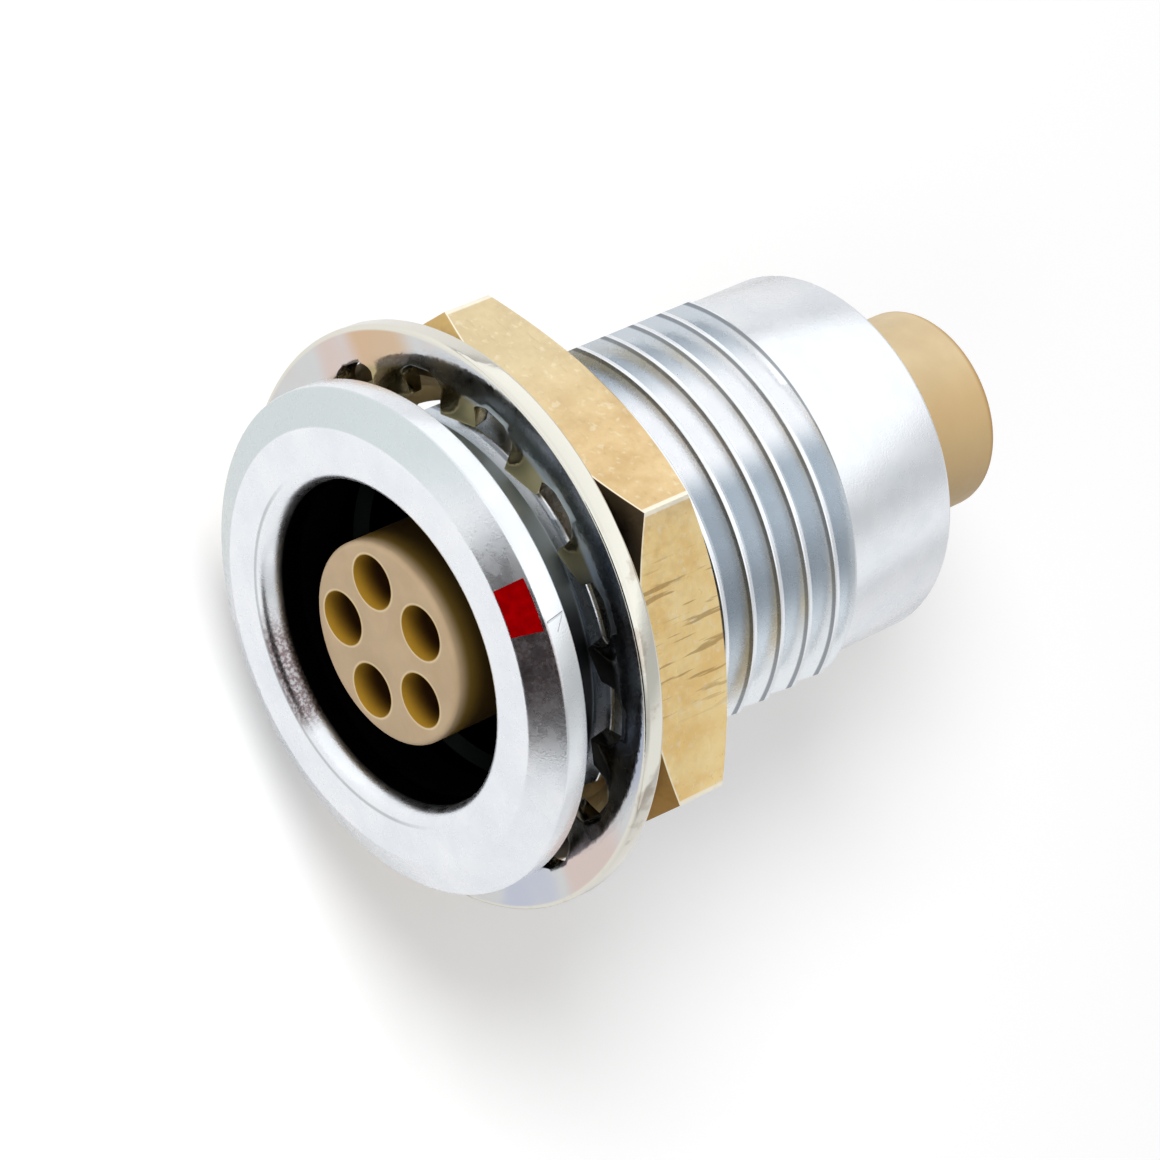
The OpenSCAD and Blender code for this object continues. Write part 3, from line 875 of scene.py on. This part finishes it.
def floor():
    """A pale floor just below the part, which shows white where nothing shades it."""
    bm = bmesh.new()
    bmesh.ops.create_circle(bm, cap_ends=True, segments=96, radius=400 * MM)
    bmesh.ops.translate(bm, verts=bm.verts[:], vec=(0, 5 * MM, cad_box[0].z - 0.05 * MM))
    piece = make("floor", bm)
    mat = bpy.data.materials.new("white_floor")
    mat.use_nodes = True
    nodes, links = mat.node_tree.nodes, mat.node_tree.links
    out = nodes["Material Output"]
    nodes.remove(nodes["Principled BSDF"])
    matte = nodes.new("ShaderNodeBsdfDiffuse")
    matte.inputs["Color"].default_value = (0.8, 0.8, 0.8, 1)
    glow = nodes.new("ShaderNodeEmission")
    path = nodes.new("ShaderNodeLightPath")
    strength = None
    for ray, level in (("Is Camera Ray", 0.27), ("Is Glossy Ray", 0.1),
                       ("Is Transmission Ray", 0.1)):
        lift = nodes.new("ShaderNodeMath")
        lift.operation = "MULTIPLY_ADD"
        lift.inputs[1].default_value = level
        lift.inputs[2].default_value = 0
        links.new(path.outputs[ray], lift.inputs[0])
        if strength:
            links.new(strength, lift.inputs[2])
        strength = lift.outputs[0]
    links.new(strength, glow.inputs["Strength"])
    both = nodes.new("ShaderNodeAddShader")
    links.new(matte.outputs[0], both.inputs[0])
    links.new(glow.outputs[0], both.inputs[1])
    links.new(both.outputs[0], out.inputs["Surface"])
    dress(piece, mat)


def world():
    """White where it is seen. Reflections find pale ground, a dull horizon and a bright sky.

    The stops of the reflections run from straight against the direction up to straight along it.
    """
    up = Vector((-0.646, -0.2145, 0.7325))
    made = bpy.data.worlds.new("studio")
    bpy.context.scene.world = made
    made.use_nodes = True
    nodes, links = made.node_tree.nodes, made.node_tree.links
    back = nodes["Background"]
    place = nodes.new("ShaderNodeTexCoord")

    def along(direction, low, high):
        dot = nodes.new("ShaderNodeVectorMath")
        dot.operation = "DOT_PRODUCT"
        dot.inputs[1].default_value = direction
        links.new(place.outputs["Generated"], dot.inputs[0])
        scaled = nodes.new("ShaderNodeMapRange")
        scaled.inputs["From Min"].default_value = low
        scaled.inputs["From Max"].default_value = high
        links.new(dot.outputs["Value"], scaled.inputs["Value"])
        return scaled.outputs["Result"]

    def stops(value, levels):
        ramp = nodes.new("ShaderNodeValToRGB")
        while len(ramp.color_ramp.elements) < len(levels):
            ramp.color_ramp.elements.new(0.5)
        for element, (at, level) in zip(ramp.color_ramp.elements, levels):
            element.position = at
            element.color = (level * 0.985, level * 0.995, level, 1)
        links.new(value, ramp.inputs["Fac"])
        return ramp.outputs["Color"]

    height = stops(along(up, -1, 1), [
        (0.0, 0.98), (0.30, 0.95), (0.40, 0.62), (0.50, 0.58),
        (0.56, 0.80), (0.63, 1.25), (0.74, 1.2), (1.0, 1.05)])
    path = nodes.new("ShaderNodeLightPath")
    mirror = nodes.new("ShaderNodeMix")
    mirror.data_type = "RGBA"
    mirror.inputs["A"].default_value = (0.45, 0.45, 0.455, 1)
    sharp = nodes.new("ShaderNodeMath")
    sharp.operation = "MAXIMUM"
    links.new(path.outputs["Is Glossy Ray"], sharp.inputs[0])
    links.new(path.outputs["Is Transmission Ray"], sharp.inputs[1])
    links.new(sharp.outputs[0], mirror.inputs["Factor"])
    links.new(height, mirror.inputs["B"])
    shown = nodes.new("ShaderNodeMix")
    shown.data_type = "RGBA"
    shown.inputs["B"].default_value = (1, 1, 1, 1)
    links.new(path.outputs["Is Camera Ray"], shown.inputs["Factor"])
    links.new(mirror.outputs["Result"], shown.inputs["A"])
    links.new(shown.outputs["Result"], back.inputs["Color"])
    back.inputs["Strength"].default_value = 1


def flag():
    """A small black card in front of the mating side, seen in reflections alone."""
    bm = bmesh.new()
    bmesh.ops.create_circle(bm, cap_ends=True, segments=48, radius=1)
    place = Matrix.Translation(Vector((6.5, -25, 3)) * MM)
    roll = Matrix.Rotation(math.radians(23), 4, "Y")
    upright = Matrix.Rotation(math.radians(90), 4, "X")
    bm.transform(place @ roll @ upright @ Matrix.Diagonal((13 * MM, 9 * MM, 1, 1)))
    piece = make("flag", bm)
    mat = bpy.data.materials.new("black_card")
    mat.use_nodes = True
    shader = mat.node_tree.nodes["Principled BSDF"]
    shader.inputs["Base Color"].default_value = (0.02, 0.014, 0.014, 1)
    shader.inputs["Roughness"].default_value = 1.0
    dress(piece, mat)
    piece.visible_camera = piece.visible_diffuse = False
    piece.visible_shadow = piece.visible_transmission = False


def lamp(name, direction, distance, size, power):
    """A round lamp that shines on the origin, with distance and size in millimetres."""
    light = bpy.data.lights.new(name, "AREA")
    light.shape, light.size, light.energy = "DISK", size * MM, power
    piece = bpy.data.objects.new(name, light)
    bpy.context.scene.collection.objects.link(piece)
    direction = Vector(direction).normalized()
    piece.location = direction * distance * MM
    piece.rotation_euler = direction.to_track_quat("Z", "Y").to_euler()
    piece.visible_glossy = False


def camera():
    """Close and steep, rolled so that the mating side is left and the stub at the upper right."""
    place = Vector((-5.25, -67.12, 102.54)) * MM
    aim = Vector((0.364, 3.79, 2.71)) * MM
    up = Vector((-0.925, 0.3324, 0.1841))
    data = bpy.data.cameras.new("camera")
    data.sensor_width, data.lens = 36, 146.59
    data.clip_start, data.clip_end = 0.001, 10
    piece = bpy.data.objects.new("camera", data)
    bpy.context.scene.collection.objects.link(piece)
    back = (place - aim).normalized()
    right = up.cross(back).normalized()
    turn = Matrix((right, back.cross(right), back)).transposed()
    piece.matrix_world = Matrix.Translation(place) @ turn.to_4x4()
    bpy.context.scene.camera = piece


# ---------------------------------------------------------------- assembly

def main():
    nodes = frame["nodes"]
    finishes = {
        "shell": shell_finish(), "crown": crown_finish(), "contact_metal": gold_finish(),
        "nut": nut_finish(), "washer": washer_finish(), "mark": mark_finish(),
        "front_insulator": front_plastic(), "rear_insulator": rear_plastic()}
    slots = {s["node"]: s["material_slot"] for s in frame["record"]["subparts"]}
    for name, node in nodes.items():
        dress(node, finishes[slots[name]])
        smooth(node)
    built = [
        (shell, "outer_shell", "receptacle"), (front_insulator, "insulator_front", "receptacle"),
        (rear_insulator, "insulator_rear", "receptacle"), (nut, "hex_nut", "nut"),
        (washer, "lock_washer", "washer")]
    for build, node, body in built:
        piece = build()
        piece.data.transform(Matrix.Scale(MM, 4))
        dress(piece, finishes[slots[node]])
        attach(piece, body)
        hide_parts(node)
    floor()
    world()
    flag()
    lamp("key", (-0.44, -0.24, 0.86), 160, 80, 0.17)
    lamp("fill", (0.2, -0.9, 0.6), 200, 120, 0.055)
    camera()
    scene = bpy.context.scene
    scene.view_settings.view_transform = "Standard"


main()
